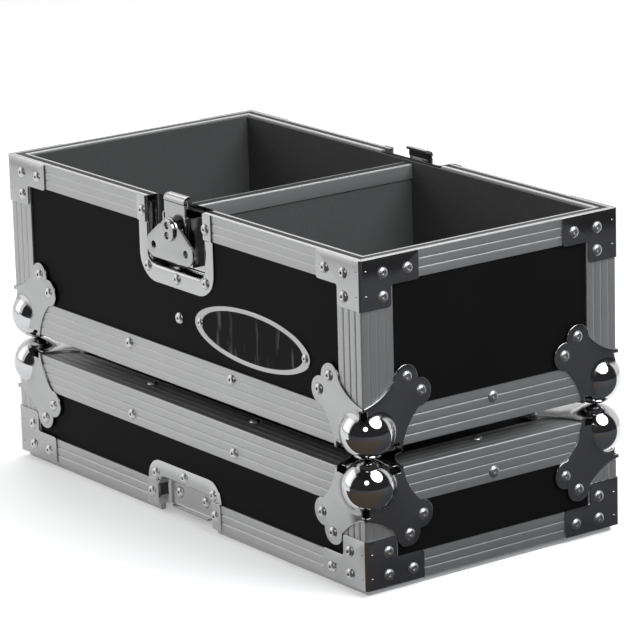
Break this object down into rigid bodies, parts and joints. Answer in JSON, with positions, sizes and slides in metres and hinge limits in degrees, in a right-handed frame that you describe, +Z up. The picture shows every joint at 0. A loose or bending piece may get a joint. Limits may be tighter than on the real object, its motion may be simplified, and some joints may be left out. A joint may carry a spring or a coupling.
{
  "type": "record carrying case",
  "caption": "Open carrying case for seven inch records, standing on its lift-off lid, with butterfly latches, ball corners, ribbed edges and an inner partition.",
  "frame": {"origin": "middle of the footprint, on the surface that the lid stands on", "axes": "+Z up, +X along the long side towards the right end, the badge side faces -Y"},
  "size_m": [0.5096, 0.2696, 0.274],
  "materials": {
    "aluminium": "satin, ribbed",
    "laminate": "matte black laminate",
    "lining": "grey foam with a felt face",
    "plated_steel": "satin plated",
    "chrome": "polished",
    "badge": "black field with a bright rim",
    "trim": "matte",
    "grip": "matte"
  },
  "bodies": {
    "lid": {"lid_front_panel": "laminate", "lid_back_panel": "laminate", "lid_left_panel": "laminate", "lid_right_panel": "laminate", "lid_top_panel": "laminate", "lid_lining": "lining", "lid_upright_angles": "aluminium", "lid_top_angles": "aluminium", "lid_front_rim": "aluminium", "lid_back_rim": "aluminium", "lid_left_rim": "aluminium", "lid_right_rim": "aluminium", "lid_corner_braces": "plated_steel", "lid_ball_corners": "chrome", "front_strike_dish": "plated_steel", "back_strike_dish": "plated_steel", "front_strike_plate": "chrome", "back_strike_plate": "chrome", "grip_tray": "plated_steel", "bail_ears": "plated_steel"},
    "case": {"case_front_panel": "laminate", "case_back_panel": "laminate", "case_left_panel": "laminate", "case_right_panel": "laminate", "case_bottom_panel": "laminate", "case_lining": "lining", "case_upright_angles": "aluminium", "case_base_angles": "aluminium", "case_front_rim": "aluminium", "case_back_rim": "aluminium", "case_left_rim": "aluminium", "case_right_rim": "aluminium", "case_corner_braces": "plated_steel", "case_ball_corners": "chrome", "partition": "laminate", "partition_trim": "trim", "front_latch_dish": "plated_steel", "back_latch_dish": "plated_steel", "front_latch_base": "plated_steel", "back_latch_base": "plated_steel", "badge_plate": "badge"},
    "front_latch_knob": {"front_latch_spindle": "chrome", "front_latch_handle": "chrome", "front_latch_cap": "chrome"},
    "front_latch_draw": {"front_latch_hook": "chrome"},
    "back_latch_knob": {"back_latch_spindle": "chrome", "back_latch_handle": "chrome", "back_latch_cap": "chrome"},
    "back_latch_draw": {"back_latch_hook": "chrome"},
    "carry_handle": {"bail": "plated_steel", "grip": "grip"}
  },
  "joints": [
    {"name": "case_lift", "type": "slide", "parent": "lid", "child": "case", "axis": [0, 0, 1], "range_m": [0, 0.2]},
    {"name": "carry_handle_swing", "type": "hinge", "parent": "lid", "child": "carry_handle", "pos_m": [0, 0.024, 0.0907], "axis": [-1, 0, 0], "range_deg": [0, 90]},
    {"name": "front_latch_turn", "type": "hinge", "parent": "case", "child": "front_latch_knob", "pos_m": [0, -0.1243, 0.2465], "axis": [0, -1, 0], "range_deg": [0, 180]},
    {"name": "front_hook_draw", "type": "slide", "parent": "case", "child": "front_latch_draw", "axis": [0, 0, 1], "range_m": [0, 0.007]},
    {"name": "back_latch_turn", "type": "hinge", "parent": "case", "child": "back_latch_knob", "pos_m": [0, 0.1243, 0.2465], "axis": [0, 1, 0], "range_deg": [0, 180]},
    {"name": "back_hook_draw", "type": "slide", "parent": "case", "child": "back_latch_draw", "axis": [0, 0, 1], "range_m": [0, 0.007]}
  ],
  "couplings": [
    {"joint": "carry_handle_swing", "follows": "case_lift", "rad_per_m": 7.85},
    {"joint": "front_hook_draw", "follows": "front_latch_turn", "m_per_rad": 0.002228},
    {"joint": "back_hook_draw", "follows": "back_latch_turn", "m_per_rad": 0.002228}
  ]
}
